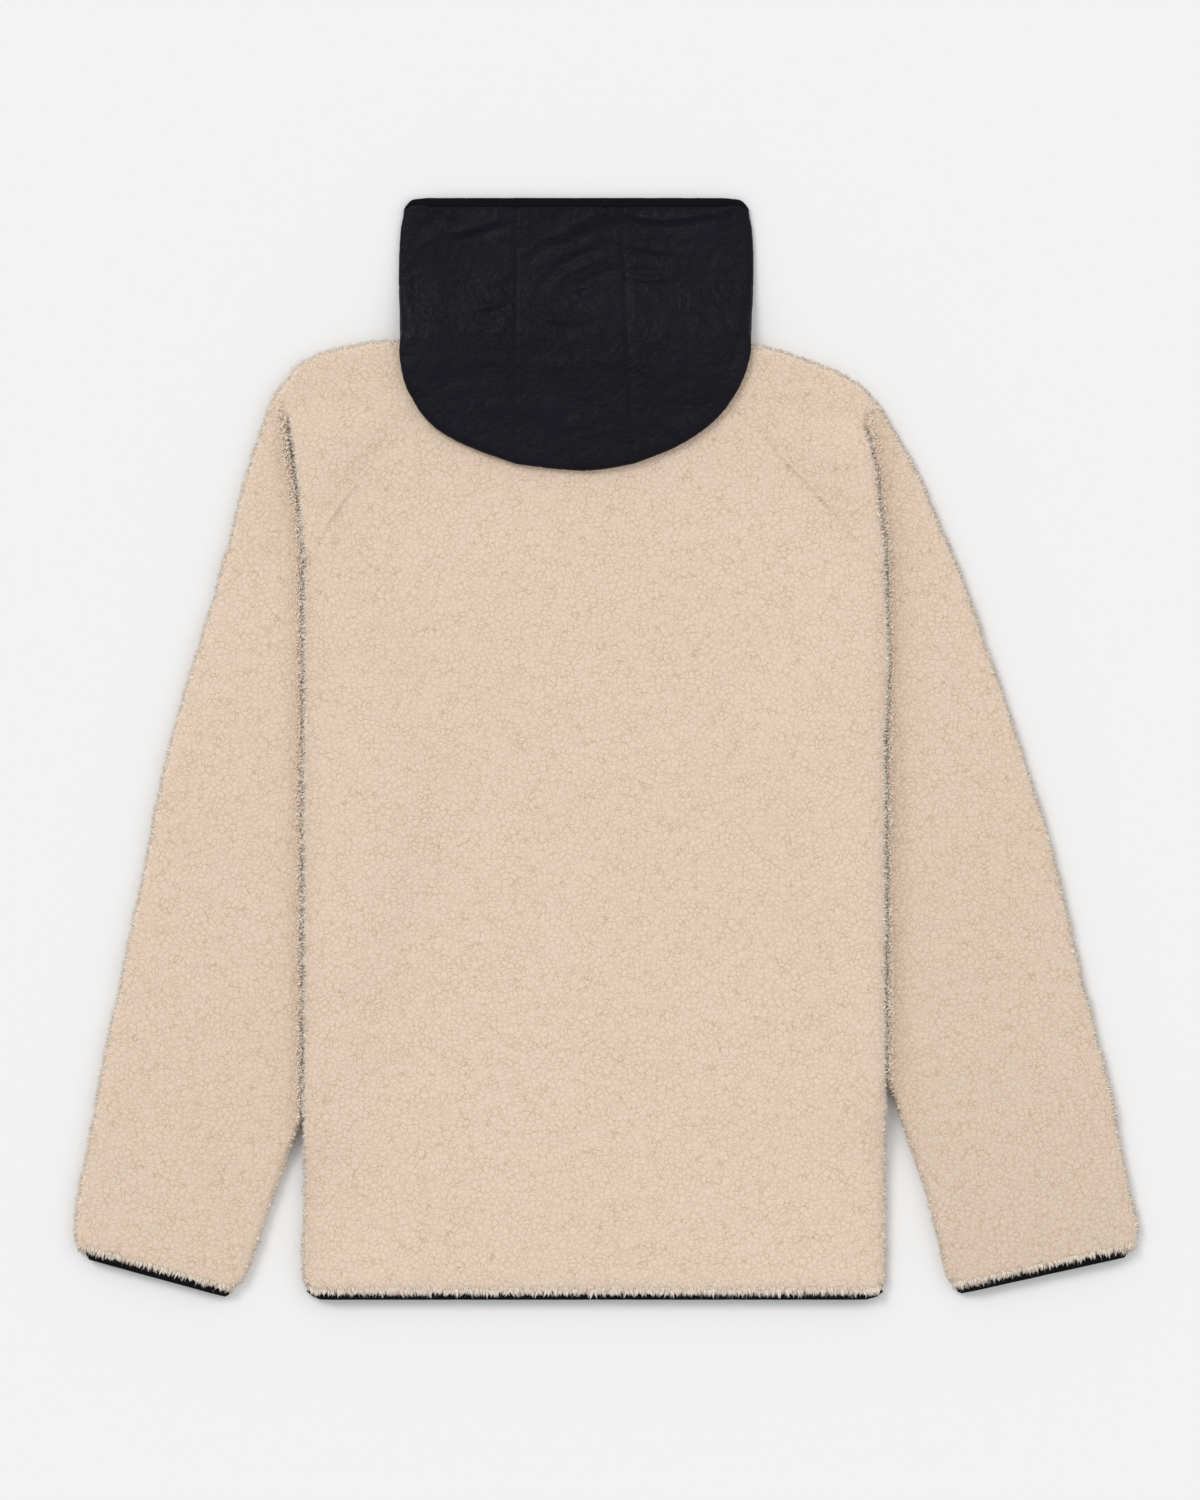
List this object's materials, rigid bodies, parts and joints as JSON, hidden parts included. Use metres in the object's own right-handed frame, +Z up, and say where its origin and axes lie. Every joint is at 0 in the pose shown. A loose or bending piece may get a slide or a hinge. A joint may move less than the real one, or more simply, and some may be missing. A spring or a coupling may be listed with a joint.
{
  "type": "hooded fleece jacket",
  "caption": "Hooded fleece jacket laid flat on its front, raglan sleeves drawn down and tucked under the body, with a panelled hood folded onto the back and bound hem and cuffs.",
  "frame": {"origin": "centre of the laid-out jacket's box, on the surface that it lies on", "axes": "+Z up from the surface, +Y from the hem to the hood, +X to the wearer's right"},
  "size_m": [0.818, 0.8475, 0.0242],
  "materials": {
    "fleece": "cream curly-pile fleece, matt",
    "nylon": "black plain-weave nylon with a low sheen",
    "binding": "black ribbed binding tape, matt",
    "zip_tape": "black woven zip tape with a black coil",
    "zip_metal": "black enamelled metal, satin"
  },
  "bodies": {
    "jacket": {"back": "fleece", "front_left": "fleece", "front_right": "fleece", "sleeve_left": "fleece", "sleeve_right": "fleece", "hood_centre": "nylon", "hood_left": "nylon", "hood_right": "nylon", "hood_binding": "binding", "hem_binding": "binding", "cuff_binding_left": "binding", "cuff_binding_right": "binding", "zip_left": "zip_tape", "zip_right": "zip_tape", "zip_slider": "zip_metal"},
    "pull": {"zip_pull": "zip_metal"}
  },
  "joints": [
    {"name": "pull_swing", "type": "hinge", "parent": "jacket", "child": "pull", "pos_m": [-0.02279, 0.222, 0.0018], "axis": [1, 0, 0], "range_deg": [0, 170]}
  ]
}
